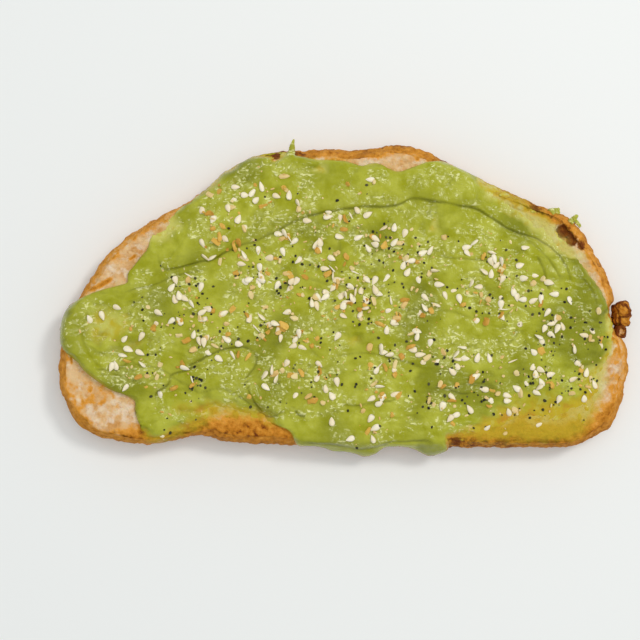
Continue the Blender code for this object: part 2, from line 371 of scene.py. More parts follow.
def bread_top(x, y):
    """Height of the bread under the spread."""
    return SLICE_TOP + bread_relief(on_plane(x, y)) - over_the_rim(inside_outline(x, y, BREAD_SHARES))


def knife_drag(x, y):
    """Places bent so that the knife's strokes, which follow the crown above and run nearly level
    below, lie along the first of the two; noise makes the strokes wander and curl."""
    arch = 20 * (1 - (x / SPOKE_X) ** 2) * smoothed(-15, 45, y)
    flat = on_plane(x, y)
    return x + 2.5 * noise(flat, 8.0, 45), y - arch + 3.0 * noise(flat, 12.0, 46) + 1.2 * noise(flat, 4.0, 47)


def fold_relief(x, y):
    """The folds and rolls: each rises along its line as a bell curve, wide on its raised side and
    narrow on the other, with a crease at its foot. Gives the height, and the painted shade at each
    place: a dark line at each crease's foot and a softer darkening along the fold's raised side."""
    height, shaded_crease = np.zeros(x.shape), np.zeros(x.shape)
    for corners, rise, wide, narrow, deep in FOLDS:
        line = smooth_line(corners)
        low, high = line.min(0) - 3 * wide - 3, line.max(0) + 3 * wide + 3
        near = (x > low[0]) & (x < high[0]) & (y > low[1]) & (y < high[1])
        flat = on_plane(x[near], y[near])
        wander = 0.35 * noise(flat, 4.0, 17), 0.35 * noise(flat, 4.0, 18)
        away, side, along = beside_line(x[near] + wander[0], y[near] + wander[1], line)
        fade = smoothed(0, 0.1, along) * smoothed(0, 0.1, 1 - along) * (0.85 + 0.45 * noise(flat, 7.0, 19))
        reach = np.where(side > 0, wide, narrow)
        foot = np.exp(-(((-side * away - narrow) / 0.36) ** 2))
        height[near] += fade * (rise * np.exp(-((away / reach) ** 2)) - deep * foot)
        # Painted shade: dark at the foot of the crease, softer along the fold's raised side.
        shade = np.maximum(2.6 * foot, 0.7 * np.exp(-((away / 2.6) ** 2)) * (side > 0))
        shaded_crease[near] = np.maximum(shaded_crease[near], fade * deep * shade)
    for corners, rise, wide in ROLLS:
        away, _side, along = beside_line(x, y, smooth_line(corners))
        fade = smoothed(0, 0.15, along) * smoothed(0, 0.15, 1 - along)
        height += rise * (0.35 + 0.65 * fade) * np.exp(-((away / wide) ** 2))
    return height, np.clip(shaded_crease, 0, 1)


def scrape_depth(x, y):
    """How much the knife took away: a soft-edged oval for each scrape."""
    depth = np.zeros(x.shape)
    flat = on_plane(x, y)
    x, y = x + 2.2 * noise(flat, 6.0, 43), y + 1.6 * noise(flat, 4.0, 44)
    for cx, cy, long, wide, turn, deep in SCRAPES:
        c, s = np.cos(np.radians(turn)), np.sin(np.radians(turn))
        u, v = (x - cx) * c + (y - cy) * s, (y - cy) * c - (x - cx) * s
        depth += deep * np.exp(-((u / long) ** 2 + (v / wide) ** 2))
    return depth


def frothy(flat):
    """Where the mash is full of small bubbles and lumps, from 0 to 1: in patches, with fewer of
    them towards the right-hand end and the base, and none on the smooth rounding of the edge."""
    inside = inside_outline(flat[:, 0], flat[:, 1], SPREAD_SHARES)
    fewer = 0.3 * smoothed(30, 60, flat[:, 0]) + 0.15 * smoothed(-20, -36, flat[:, 1])
    patches = smoothed(-0.2, 0.3, noise(flat, 9.0, 9) + 0.45 * noise(flat, 3.5, 14) - fewer)
    return patches * smoothed(0.5, 3.5, inside)


def spread_shape(x, y, body):
    """The spread at each place: how thick it is over the bread (below zero where the bread shows),
    how much painted shade its creases and hollows get, and the height of its top.

    Thickness = (body + folds - scrapes) x the rounding of its edge + drag marks + lumps.
    """
    inside = inside_outline(x, y, SPREAD_SHARES)
    angle, _share = spoke_place(x, y)
    flat = on_plane(x, y)
    along, across = knife_drag(x, y)
    dragged = on_plane(along, across)
    wide = softness(angle) * (1 + 0.35 * noise(flat, 5.0, 41))
    soft = smoothed(LIP_WIDTH, LIP_WIDTH + 1.5, wide)
    share = np.clip((inside + 0.12) / wide, 0, 1)
    rounding = (1 - soft) * np.sqrt(1 - (1 - share) ** 2) + soft * share**1.1
    folds, shaded_crease = fold_relief(x, y)
    broad = 0.35 * noise(flat, 24.0, 5) + 0.25 * noise(flat, 9.0, 6)
    scraped = scrape_depth(x, y)
    film = 0.12 - 0.6 * smoothed(2.5, 3.0, scraped) - 2.5 * smoothed(3.2, 4.5, scraped)
    thick = np.maximum(body + folds + broad - scraped, film)
    ridges = 0.5 - np.abs(noise(dragged, (16.0, 2.6, 1), 15)) ** 0.7
    strokes = 0.5 - np.abs(noise(dragged, (11.0, 1.3, 1), 57)) ** 0.7
    drag = 0.22 * noise(dragged, (9.0, 2.4, 1), 7) + 0.08 * noise(dragged, (3.5, 1.0, 1), 8)
    drag = drag + 0.36 * ridges + 0.13 * strokes
    swirls = 0.5 - np.abs(noise(flat + 1.5 * drag[:, None], 6.0, 48)) ** 0.6
    drag = drag + 0.34 * swirls
    froth = frothy(flat)
    lumps = 0.14 * noise(flat, 2.8, 10)
    lumps = lumps + froth * (0.3 * noise(flat, 1.6, 11) + 0.2 * noise(flat, 0.95, 16))
    thin = np.clip(thick / 1.0, 0.35, 1)
    height = thick * rounding + (drag + lumps) * np.clip(rounding * 1.5, 0, 1) * thin
    ragged = 0.55 * (1 - rounding) * soft * (1 + 0.9 * noise(flat, 2.6, 12) + 0.5 * noise(flat, 1.1, 13))
    height = height - ragged
    # Painted shade: the hollows between drag marks and lumps are coloured darker.
    hollow = smoothed(0.05, -0.35, drag + lumps + 0.5 * broad)
    return height, np.maximum(shaded_crease, 0.5 * hollow), bread_top(x, y) + height


# ---------------------------------------------------------------- the user's sizes and colours


def linear(hexed):
    """An sRGB colour such as #8FA63A as linear red, green and blue."""
    parts = (int(hexed[i:i + 2], 16) / 255 for i in (1, 3, 5))
    return tuple(p / 12.92 if p <= 0.04045 else ((p + 0.055) / 1.055) ** 2.4 for p in parts)


def size(name, description, default):
    """A length property in metres, shown in the scene's units."""
    return bpy.props.FloatProperty(name=name, description=description, default=default, unit="LENGTH")


def colour(name, description, hexed):
    return bpy.props.FloatVectorProperty(
        name=name, description=description, default=linear(hexed), size=3, min=0, max=1, subtype="COLOR"
    )


class ToastSizes(bpy.types.PropertyGroup):
    body: size("Spread thickness", "Avocado between the folds and the scrapes", 2.1 * MM)
    crust_roughness: size("Crust roughness", "Height of the crust's lumps", 0.55 * MM)
    sesame_length: size("Sesame length", "Length of a sesame seed", 2.95 * MM)
    poppy_width: size("Poppy width", "Width of a poppy seed", 0.82 * MM)
    garlic_length: size("Garlic length", "Length of a grain of dried garlic", 2.3 * MM)
    onion_length: size("Onion length", "Length of a flake of dried onion", 2.2 * MM)
    camera_height: size("Camera height", "Height of the camera over the floor", 438 * MM)


class ToastColours(bpy.types.PropertyGroup):
    crumb: colour("Crumb", "Untoasted crumb", "#EFC994")
    crumb_pink: colour("Crumb, warmer", "Patches of warmer crumb", "#D99F5C")
    cream: colour("Crumb, paler", "Patches of creamy crumb", "#F6E2C6")
    gold: colour("Gold", "Lightly toasted bread", "#E8A03C")
    brown: colour("Brown", "Well toasted crust", "#C17A1C")
    char: colour("Char", "Burnt crust", "#72360C")
    green: colour("Avocado green", "Thick mash", "#9D9F12")
    pale_green: colour("Pale green", "Mash with air in it", "#C0C248")
    deep_green: colour("Deep green", "Mash from next to the skin", "#7B7F0A")
    film: colour("Avocado film", "Mash so thin that toasted bread shows through", "#C6AC24")
    pale_film: colour("Pale film", "Mash so thin that pale crumb shows through", "#D0CB68")
    # The froth and its flecks are paler partly from air bubbles and partly as painted sheen and glints.
    froth: colour("Froth", "Veil of small bubbles on the mash", "#DADC8C")
    glint_fleck: colour("Flecks", "Pale flecks in the mash", "#F0EFA8")
    sesame: colour("Sesame", "Hulled sesame", "#FDF3D6")
    sesame_dark: colour("Sesame, darker", "The darkest sesame", "#EFDAAC")
    poppy: colour("Poppy", "Poppy seed", "#17140A")
    poppy_pale: colour("Poppy, paler", "The palest poppy seed", "#5A5834")
    garlic: colour("Garlic", "Dried garlic", "#EFDDA0")
    garlic_dark: colour("Garlic, darker", "The darkest garlic", "#E2BC70")
    onion: colour("Onion", "Toasted dried onion", "#E4B84E")
    onion_dark: colour("Onion, darker", "The darkest onion", "#C8922C")
    floor: colour("Floor", "Table top", "#F2F3F0")


# ---------------------------------------------------------------- materials


def add(tree, kind, inputs=None, **settings):
    """Adds a node: inputs maps a socket's name or number to a value, or to another node's output
    socket to link it from; settings are the node's own properties."""
    node = tree.nodes.new(kind)
    for key, value in settings.items():
        setattr(node, key, value)
    for key, value in (inputs or {}).items():
        if isinstance(value, bpy.types.NodeSocket):
            tree.links.new(value, node.inputs[key])
        else:
            node.inputs[key].default_value = value
    return node


def new_material(name):
    """An empty material with its Principled shader; gives the material, its nodes and the shader."""
    material = bpy.data.materials.new(name)
    material.use_nodes = True
    tree = material.node_tree
    return material, tree, tree.nodes["Principled BSDF"]


def ramp(tree, factor, stops):
    """A colour ramp through (place, linear colour) stops; gives its colour socket."""
    node = add(tree, "ShaderNodeValToRGB", {"Fac": factor})
    for place, _tint in stops[2:]:
        node.color_ramp.elements.new(place)
    for element, (place, tint) in zip(node.color_ramp.elements, stops):
        element.position, element.color = place, (*tint, 1)
    return node.outputs["Color"]


def set_sockets(shader, values):
    """Gives the shader's own sockets values that are the same all over the surface."""
    for name, value in values.items():
        shader.inputs[name].default_value = value


def attribute(tree, name):
    return add(tree, "ShaderNodeAttribute", attribute_name=name).outputs["Fac"]


def speckle(tree, millimetres, detail=3.0, roughness=0.55):
    """Noise on Object coordinates whose blobs are about that many millimetres across."""
    place = add(tree, "ShaderNodeTexCoord").outputs["Object"]
    sockets = {"Vector": place, "Scale": 1 / (millimetres * MM), "Detail": detail, "Roughness": roughness}
    return add(tree, "ShaderNodeTexNoise", sockets).outputs["Fac"]


def maths(tree, operation, first, second):
    return add(tree, "ShaderNodeMath", {0: first, 1: second}, operation=operation).outputs[0]


def mixed(tree, factor, first, second):
    """Colours blended by factor; a colour may be a socket or linear red, green and blue."""
    first, second = (c if isinstance(c, bpy.types.NodeSocket) else (*c, 1) for c in (first, second))
    sockets = {0: factor, 6: first, 7: second}
    return add(tree, "ShaderNodeMix", sockets, data_type="RGBA").outputs[2]


def spread_over(tree, value, low, high, bottom=0.0, top=1.0):
    """The value carried from low..high to bottom..top, and held at both ends."""
    sockets = {"Value": value, "From Min": low, "From Max": high, "To Min": bottom, "To Max": top}
    return add(tree, "ShaderNodeMapRange", sockets).outputs[0]


def blobs(tree, millimetres, low, high, bottom=0.0, top=1.0, detail=3.0, roughness=0.55):
    """That noise, spread over bottom..top where it runs from low to high."""
    return spread_over(tree, speckle(tree, millimetres, detail, roughness), low, high, bottom, top)


def bumped(tree, height, millimetres, normal=None):
    """A bump whose height socket runs from 0 to 1 over that many millimetres."""
    sockets = {"Height": height, "Distance": millimetres * MM, "Strength": 1.0}
    if normal is not None:
        sockets["Normal"] = normal
    return add(tree, "ShaderNodeBump", sockets).outputs["Normal"]


def flecks(tree, millimetres, stretch, low, high):
    """Uneven spots, 1 inside and 0 outside: noise on Object coordinates, cut off between low and
    high; a stretch under 1 draws them out along that axis."""
    place = add(tree, "ShaderNodeTexCoord").outputs["Object"]
    drawn = {0: place, 1: tuple(part / (millimetres * MM) for part in stretch)}
    drawn = add(tree, "ShaderNodeVectorMath", drawn, operation="MULTIPLY").outputs[0]
    sockets = {"Vector": drawn, "Scale": 1.0, "Detail": 1.0, "Roughness": 0.5, "Distortion": 0.2}
    spots = add(tree, "ShaderNodeTexNoise", sockets).outputs["Fac"]
    return spread_over(tree, spots, low, high)


def toasted_bread(colours):
    """Wheat bread, toasted: dry crumb that is dull and cream coloured, going gold and brown towards
    the crust as its sugars brown, with burnt blisters; fine pores break up every highlight."""
    material, tree, shader = new_material("toasted_wheat_bread")
    toast, char, smear = (attribute(tree, name) for name in ("toast", "char", "smear"))
    crumb = mixed(tree, blobs(tree, 4.0, 0.4, 0.65), colours.crumb, colours.crumb_pink)
    crumb = mixed(tree, blobs(tree, 3.2, 0.46, 0.6, 0.0, 0.75, 4.0), crumb, colours.cream)
    crumb = mixed(tree, blobs(tree, 2.0, 0.56, 0.7, 0.0, 0.5, 5.0, 0.7), crumb, colours.brown)
    grainy = blobs(tree, 1.8, 0.3, 0.7, -0.5, 0.5, 5.0, 0.7)
    grainy = maths(tree, "MULTIPLY", grainy, spread_over(tree, toast, 0.2, 0.6, 0.24, 0.42))
    uneven = maths(tree, "ADD", toast, grainy)
    pale, gold, brown, dark = colours.crumb, colours.gold, colours.brown, colours.char
    light = tuple(0.5 * (a + b) for a, b in zip(pale, gold))
    stops = ((0.12, pale), (0.3, light), (0.5, gold), (0.78, brown), (1.0, dark))
    browned = ramp(tree, uneven, stops)
    shown = spread_over(tree, uneven, 0.2, 0.45)
    base = mixed(tree, shown, crumb, browned)
    charred = maths(tree, "ADD", char, blobs(tree, 0.9, 0.3, 0.7, -0.25, 0.25, 4.0))
    scorched = mixed(tree, blobs(tree, 1.0, 0.45, 0.75, 0.0, 0.45), dark, brown)
    base = mixed(tree, spread_over(tree, charred, 0.3, 0.7), base, scorched)
    film = mixed(tree, spread_over(tree, toast, 0.2, 0.6), colours.pale_film, colours.film)
    base = mixed(tree, smear, base, film)
    tree.links.new(base, shader.inputs["Base Color"])
    rough = spread_over(tree, smear, 0.0, 1.0, 0.72, 0.4)
    tree.links.new(rough, shader.inputs["Roughness"])
    set_sockets(shader, {
        "IOR": 1.45, "Specular IOR Level": 0.22, "Subsurface Weight": 0.12,
        "Subsurface Radius": (1.0, 0.55, 0.25), "Subsurface Scale": 1.2 * MM,
    })
    coarse = bumped(tree, speckle(tree, 1.3, 4.0, 0.65), 0.7)
    fine = bumped(tree, speckle(tree, 0.6, 3.0, 0.7), 0.3, coarse)
    tree.links.new(fine, shader.inputs["Normal"])
    return material


def mashed_avocado(colours):
    """Mashed ripe avocado: an oily, wet paste, so it has a sharp sheen that fine lumps and air
    bubbles break into sparks; froth is paler and flecked, partly from its bubbles and partly as painted
    sheen and glints; creases and hollows get painted shade, and it yellows where it is thin."""
    material, tree, shader = new_material("mashed_avocado_flesh")
    thin, shaded_crease, deep, under, froth = (
        attribute(tree, name) for name in ("thin", "shaded_crease", "deep", "under", "froth")
    )
    broad = blobs(tree, 4.5, 0.35, 0.65, 0.0, 0.7, 4.0)
    flesh = mixed(tree, broad, colours.green, colours.pale_green)
    flesh = mixed(tree, deep, flesh, colours.deep_green)
    # Pale flecks: partly air bubbles, partly painted glints of the wet surface; they also raise small bumps.
    bubbles_and_glints = maths(
        tree, "MAXIMUM", flecks(tree, 1.0, (1, 1, 1), 0.58, 0.7), flecks(tree, 1.0, (0.5, 1, 1), 0.59, 0.71)
    )
    bubbles_and_glints = maths(tree, "MULTIPLY", bubbles_and_glints, spread_over(tree, froth, 0.05, 0.7, 0.12, 1.0))
    # A paler veil over the froth: partly its bubbles, partly painted sheen.
    froth_and_sheen = maths(tree, "MULTIPLY", froth, blobs(tree, 1.2, 0.45, 0.7, 0.05, 0.3, 2.0))
    flesh = mixed(tree, froth_and_sheen, flesh, colours.froth)
    flesh = mixed(tree, spread_over(tree, bubbles_and_glints, 0.1, 0.9, 0.0, 0.75), flesh, colours.glint_fleck)
    uneven = maths(tree, "ADD", under, blobs(tree, 3.0, 0.35, 0.65, -0.3, 0.3, 4.0))
    film = mixed(tree, spread_over(tree, uneven, 0.2, 0.55), colours.pale_film, colours.film)
    film = mixed(tree, spread_over(tree, uneven, 0.7, 1.0, 0.0, 0.7), film, colours.brown)
    flesh = mixed(tree, spread_over(tree, thin, 0.25, 1.0, 0.0, 0.95), flesh, film)
    # Painted shade in the creases, on the folds' raised sides and in the hollows.
    shadow = tuple(0.4 * c for c in colours.deep_green)
    flesh = mixed(tree, spread_over(tree, shaded_crease, 0.0, 1.0, 0.0, 0.62), flesh, shadow)
    tree.links.new(flesh, shader.inputs["Base Color"])
    patches = blobs(tree, 3.0, 0.35, 0.65, 0.14, 0.26, 2.0)
    tree.links.new(patches, shader.inputs["Roughness"])
    set_sockets(shader, {
        "IOR": 1.45, "Specular IOR Level": 0.34, "Subsurface Weight": 0.12,
        "Subsurface Radius": (1.0, 1.0, 0.25), "Subsurface Scale": 0.8 * MM,
    })
    soft = bumped(tree, speckle(tree, 1.8, 3.0, 0.6), 0.3)
    tree.links.new(bumped(tree, bubbles_and_glints, 0.1, soft), shader.inputs["Normal"])
    return material


def seed_material(name, tint, roughness, second, bump_size, bump_height, scatter=0.1):
    """A seed or dried flake: its tint attribute carries each one from the first colour to the
    second, and fine pits of bump_size millimetres dull it."""
    material, tree, shader = new_material(name)
    base = mixed(tree, attribute(tree, "tint"), tint, second)
    mottle = blobs(tree, 0.8, 0.3, 0.7, 0.0, 0.2)
    base = mixed(tree, mottle, base, tuple(0.8 * c for c in second))
    tree.links.new(base, shader.inputs["Base Color"])
    set_sockets(shader, {
        "Roughness": roughness, "IOR": 1.47, "Subsurface Weight": scatter,
        "Subsurface Radius": (1.0, 0.8, 0.5), "Subsurface Scale": 0.5 * MM,
    })
    tree.links.new(bumped(tree, speckle(tree, bump_size), bump_height), shader.inputs["Normal"])
    return material


# ---------------------------------------------------------------- bread

# Burnt places: middle, half width, how dark, and how far they sink in
BURNT = (
    (65.4, 20.8, 2.5, 1.0, 2.4), (67.8, 18.4, 2.1, 0.95, 1.8), (70.6, 16.6, 1.7, 0.8, 0.8),
    (57.0, 27.6, 1.9, 0.9, 0.9),
    (-20.6, 44.9, 3.0, 1.0, 0.0), (-24.3, 44.2, 2.4, 1.0, 0.0), (29.4, 41.7, 1.7, 0.9, 0.0),
    (11.0, 47.3, 1.6, 0.8, 0.0), (33.5, -42.0, 2.0, 0.9, 0.3), (38.0, -42.6, 2.4, 0.6, 0.0),
    (46.0, -42.8, 2.0, 0.5, 0.0), (-53.0, -43.5, 2.2, 0.7, 0.0), (-12.5, -41.0, 2.0, 0.7, 0.0),
    (62.0, 25.0, 1.2, 0.6, 0.5), (76.5, 11.0, 1.2, 0.5, 0.3),
)

# Creases in the crumb, grooved and painted darker as shade: the line and how wide
SHADED_CREASES = (
    (((-78.0, 2.4), (-73.5, 4.4), (-68.4, 7.4)), 1.0), (((-64.8, 12.0), (-62.0, 13.8)), 0.6),
    (((-82.6, -11.0), (-81.8, -16.0), (-81.4, -20.0)), 0.45),
)


# Behind the torn flap: how far the crust stands back, at what Y, and over what half width
NOTCH_DEPTH, NOTCH_PLACE, NOTCH_WIDTH = 2.8, -5.8, 5.2


def slice_profile(steps):
    """The crust from the top face's edge to the underside's: the share of the thickness and how far
    in from the widest line, by the fourth power of the distance from the widest height."""
    share = 0.5 + 0.5 * np.cos(np.linspace(0, np.pi, steps + 1))
    up = np.clip((share - WIDEST_SHARE) / (1 - WIDEST_SHARE), 0, 1)
    down = np.clip((WIDEST_SHARE - share) / WIDEST_SHARE, 0, 1)
    return share, TOP_INSET * up**4 + BASE_INSET * down**4


def slice_surface(columns=264, rows=142, steps=22):
    """The slice as one closed grid: a disc for its top and one for its underside, with rings that
    follow the crust's profile between them. A disc's radius r goes to 1.5 r - 0.5 r^2, so that the
    faces are smallest by the crust."""
    angle, radius, faces, rim = disc_grid(columns, rows)
    out = 1.5 * radius - 0.5 * radius**2
    share, inset = slice_profile(steps)
    rings = []
    for height, inwards in zip(share[1:-1], inset[1:-1]):
        x, y = spoke_point(angle[rim], share_at(moved_out(BREAD_SHARES, -inwards), angle[rim]))
        rings.append(np.stack([x, y, np.full(len(x), height * SLICE_TOP)], 1))
    discs = []
    for height, inwards in ((1, TOP_INSET), (0, BASE_INSET)):
        x, y = spoke_point(angle, out * share_at(moved_out(BREAD_SHARES, -inwards), angle))
        discs.append(np.stack([x, y, np.full(len(x), height * SLICE_TOP)], 1))
    points = np.vstack([discs[0], discs[1], *rings])
    first = 2 * len(angle)
    loops = [rim] + [first + i * len(rim) + np.arange(len(rim)) for i in range(steps - 1)]
    loops.append(len(angle) + rim)
    sides = between_rings(loops)[:, ::-1]
    return points, np.vstack([faces, (faces + len(angle))[:, ::-1], sides])


def toast_level(points, inside):
    """How toasted the slice's faces are, from 0 to 1: most in a band along the crust, which is
    widest at the flat base and narrower at the upper left and the lower right."""
    x, y = points[:, 0], points[:, 1]
    base = smoothed(-30, -37, y) * smoothed(-68, -52, x)
    calm = smoothed(-30, -50, x) * smoothed(-4, 6, y) + 0.45 * smoothed(62, 74, x) * smoothed(6, -2, y)
    band = 3.2 + 3.4 * base - 0.9 * calm + 1.0 * noise(points, 14.0, 32) + 0.9 * noise(points, 4.0, 33)
    scraped = smoothed(-22, -33, y) * smoothed(-60, -50, x)
    browned = 1 - smoothed(0.25 * band, 1.6 * band, inside)
    return 0.16 - 0.06 * calm + 0.24 * scraped + (0.48 - 0.16 * scraped) * browned


def burnt_places(points):
    """How burnt each point is, from 0 to 1, and how far it sinks in."""
    char, sunk = np.zeros(len(points)), np.zeros(len(points))
    for x, y, wide, dark, deep in BURNT:
        away = np.hypot(points[:, 0] - x, points[:, 1] - y) * (1 + 0.2 * noise(points, 1.8, 31))
        bell = np.exp(-((away / wide) ** 4))
        char, sunk = np.maximum(char, dark * bell), np.maximum(sunk, deep * bell)
    return char, sunk


def build_bread(sizes, colours):
    """The slice, its grid moved along its normals by crust lumps, crumb grain and pores."""
    points, faces = slice_surface()
    normals = vertex_normals(points, faces)
    x, y, z = points.T
    inside = inside_outline(x, y, BREAD_SHARES)
    flat_face = smoothed(0.75, 0.98, np.abs(normals[:, 2]))
    crusty = 1 - flat_face * smoothed(2.0, 6.0, inside)
    lump = sizes.crust_roughness / MM
    rough = 0.8 * noise(points, 5.5, 21) + 0.7 * noise(points, 2.3, 22) + 0.42 * noise(points, 1.05, 23)
    cracks = -0.35 * smoothed(0.75, 1.0, 1 - np.abs(noise(points, (7.0, 7.0, 3.0), 24)))
    grain = 0.11 * noise(points, 1.5, 25) + 0.06 * noise(points, 0.8, 26)
    pores = pits(points, 4.2, 0.3, 1.25, 27) ** 0.7 + 0.6 * pits(points, 2.1, 0.15, 0.7, 28) ** 0.7
    open_crumb = smoothed(-0.2, 0.4, noise(points, 10.0, 29))
    char, sunk = burnt_places(points)
    top_side = smoothed(-0.2, 0.4, normals[:, 2])
    char, sunk = char * top_side, sunk * top_side
    shift = crusty * lump * (rough + cracks) + (1 - crusty) * grain
    shift -= (0.25 + 0.75 * flat_face) * (0.25 + 0.5 * open_crumb) * pores * 0.9
    notch = NOTCH_DEPTH * np.exp(-(((y - NOTCH_PLACE) / NOTCH_WIDTH) ** 6)) * smoothed(76, 82, x)
    rim_ridge = 0.35 * np.exp(-(((inside - 3.4) / 1.3) ** 2)) * (normals[:, 2] > 0.5)
    points = points + normals * (shift - sunk)[:, None]
    points[:, 0] -= notch
    upper = normals[:, 2] > 0.3
    points[:, 2] += np.where(upper, bread_relief(points * (1, 1, 0)) * flat_face + rim_ridge, 0)
    shaded_crease = np.zeros(len(points))
    for corners, wide in SHADED_CREASES:
        away, _side, along = beside_line(x, y, smooth_line(corners))
        strength = smoothed(0, 0.2, along) * smoothed(0, 0.2, 1 - along)
        shaded_crease = np.maximum(shaded_crease, strength * np.exp(-((away / wide) ** 2)))
    shaded_crease *= top_side
    points[:, 2] -= 0.35 * shaded_crease
    points[:, 2] = np.where(normals[:, 2] < 0, np.maximum(points[:, 2], 0), points[:, 2])
    toast = toast_level(points, inside)
    toast += 0.14 * smoothed(0.0, 0.6, noise(points, 6.0, 34)) * flat_face
    upper_left = smoothed(-30, -50, x) * smoothed(-4, 6, y)
    streaky = (0.3 - 0.2 * upper_left * smoothed(2.0, 4.5, inside)) * flat_face
    streaky *= 1 - 0.75 * smoothed(-50, -60, x) * smoothed(-10, -20, y)
    toast += streaky * smoothed(0.15, 0.7, noise(points, 2.6, 40) + 0.5 * noise(points, 1.1, 42))
    edge_level = 0.5 + 0.2 * smoothed(-55, 0, x) * (1 - smoothed(66, 76, x) * smoothed(8, -2, y))
    upper_right = smoothed(30, 45, x) * smoothed(2, 12, y)
    edge_level -= 0.1 * smoothed(50, 66, x) + 0.1 * upper_left
    edge_level += 0.2 * noise(points, 6.0, 35) + 0.16 * noise(points, 1.6, 56)
    toast = np.maximum(toast, (1 - flat_face) * edge_level)
    blistered = 0.15 + 0.2 * flat_face
    toast += crusty * blistered * smoothed(0.1, 0.8, noise(points, 1.9, 38)) * smoothed(5.0, 0.5, inside)
    scorch = upper_right * flat_face * smoothed(4.5, 1.0, inside + 1.4 * noise(points, 2.0, 58))
    toast += (0.2 + 0.4 * smoothed(0.0, 0.5, noise(points, 2.6, 60))) * scorch
    browner = np.exp(-(((x + 74) / 9) ** 2) - ((y + 30) / 6) ** 2)
    browner *= smoothed(-0.1, 0.5, noise(points, 2.4, 59))
    # Painted shade: the crumb's creases are coloured as dark toast.
    toast = np.maximum(toast + 0.35 * browner, 0.7 * shaded_crease)
    toast += 0.3 * np.clip(pores, 0, 1) * smoothed(0, 7, 9 - inside) * flat_face
    below = smoothed(0.3, 0.9, -normals[:, 2])
    toast = toast * (1 - below) + below * (0.42 + 0.3 * noise(points, 9.0, 36) - 0.25 * pores)
    angle, _share = spoke_place(x, y)
    soft = smoothed(LIP_WIDTH, LIP_WIDTH + 1.5, softness(angle))
    within = inside_outline(x, y, SPREAD_SHARES) + 1.8 * upper_right
    within += 1.3 * noise(points, 2.2, 37) + 0.7 * noise(points, 1.0, 39)
    smear = smoothed(-1.6, 2.2, within) * top_side * (0.2 + 0.6 * soft) * (1 - 0.85 * np.clip(char, 0, 1))
    values = {"toast": np.clip(toast, 0, 1), "char": char, "smear": np.clip(smear, 0, 1)}
    mesh_piece(
        "toasted_slice", points, faces.tolist(), toasted_bread(colours), (BREAD,), values
    )


# ---------------------------------------------------------------- avocado

# The rings that close the spread inside the bread: how far in each lies from the spread's edge, and
# how far below the bread's top; the first is the underside of the lip
UNDER_RINGS = ((0.1, None), (0.6, 0.9), (1.8, 1.3), (4.5, 1.6))
CORE_DEPTH = 1.8                    # the middle of the spread's underside, below the bread's top
FRAY_RADIUS = 45                    # the circle on which the noise that frays the edge is read


def build_avocado(sizes, colours):
    """The spread: a fine grid for its top, rolled under at its edge and closed inside the bread."""
    body = sizes.body / MM
    angle, radius, faces, rim = disc_grid(392, 214)
    edge = share_at(SPREAD_SHARES, angle)
    ring = FRAY_RADIUS * on_plane(np.cos(angle), np.sin(angle))
    frayed = (0.4 * noise(ring, 1.3, 51) + 0.55 * noise(ring, 3.0, 52)) / 60
    edge = edge * (1 + frayed * radius**6)
    x, y = spoke_point(angle, edge * radius)
    height, shaded_crease, top = spread_shape(x, y, body)
    points = [np.stack([x, y, top], 1)]
    loops = [rim]
    lip = top[rim] - np.clip(0.25 + 0.5 * height[rim], 0.25, 1.0)
    for inwards, lower in UNDER_RINGS:
        outline = moved_out(SPREAD_SHARES, -inwards)
        ex, ey = spoke_point(angle[rim], share_at(outline, angle[rim]) * (1 + frayed[rim]))
        under = lip if lower is None else bread_top(ex, ey) - lower
        loops.append(sum(map(len, points)) + np.arange(len(rim)))
        points.append(np.stack([ex, ey, under], 1))
    centre = sum(map(len, points))
    points.append(np.array([[*MIDDLE, SLICE_TOP - CORE_DEPTH]]))
    sides = between_rings(loops)[:, ::-1]
    last = loops[-1]
    fan = np.stack([np.roll(last, -1), last, np.full(len(last), centre)], 1)
    points = np.vstack(points)
    total = len(points)
    deep = smoothed(0.0, 0.6, noise(points * (1, 1, 0), 16.0, 53) + 0.6 * smoothed(45, 80, points[:, 0]))
    deep = np.maximum(deep, 0.55 * smoothed(-74, -80, points[:, 0]))
    thin, crease_shading = np.full(total, 0.4), np.zeros(total)
    thin[:len(height)] = 1 - smoothed(-0.1, 2.0, height)
    crease_shading[:len(height)] = shaded_crease
    flat = points * (1, 1, 0)
    under = toast_level(flat, inside_outline(*points[:, :2].T, BREAD_SHARES))
    under += 0.25 * smoothed(10, -12, flat[:, 1])
    values = {"thin": thin, "shaded_crease": crease_shading, "deep": deep * 0.7, "under": under, "froth": frothy(flat)}
    every = faces.tolist() + sides.tolist() + fan.tolist()
    mesh_piece(
        "avocado_mash", points, every, mashed_avocado(colours), (SPREAD,), values
    )


# ---------------------------------------------------------------- toppings

